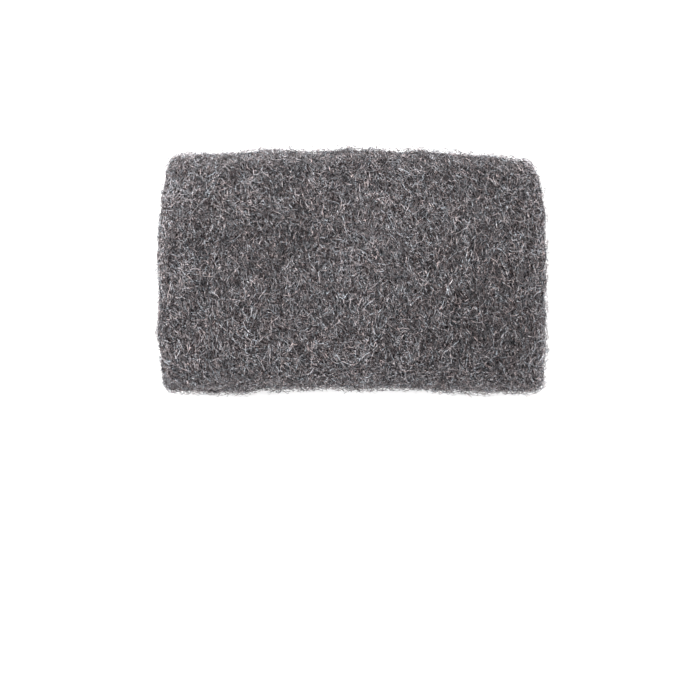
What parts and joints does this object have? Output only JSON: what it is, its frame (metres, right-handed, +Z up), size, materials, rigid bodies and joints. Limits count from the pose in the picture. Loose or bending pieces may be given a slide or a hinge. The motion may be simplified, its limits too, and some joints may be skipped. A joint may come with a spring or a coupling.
{
  "type": "steel wool pad",
  "caption": "Rectangular hand pad of fine grey steel wool: a ribbon rolled up and pressed flat, with two folded long sides, open spiral ends, a crowned top and a flat underside.",
  "frame": {"origin": "middle of the flat underside", "axes": "+X along the pad's long side, which is the width of the rolled ribbon; +Y across it, from the front fold to the bowed back fold; +Z up, from the underside to the crowned top"},
  "size_m": [0.1016, 0.064, 0.02],
  "materials": {
    "steel_wool": "fine grade shaved steel fibres, curled and felted, neutral grey with fine bright glints and dark gaps"
  },
  "bodies": {
    "root": {"steel_wool_pad": "steel_wool"}
  },
  "joints": []
}
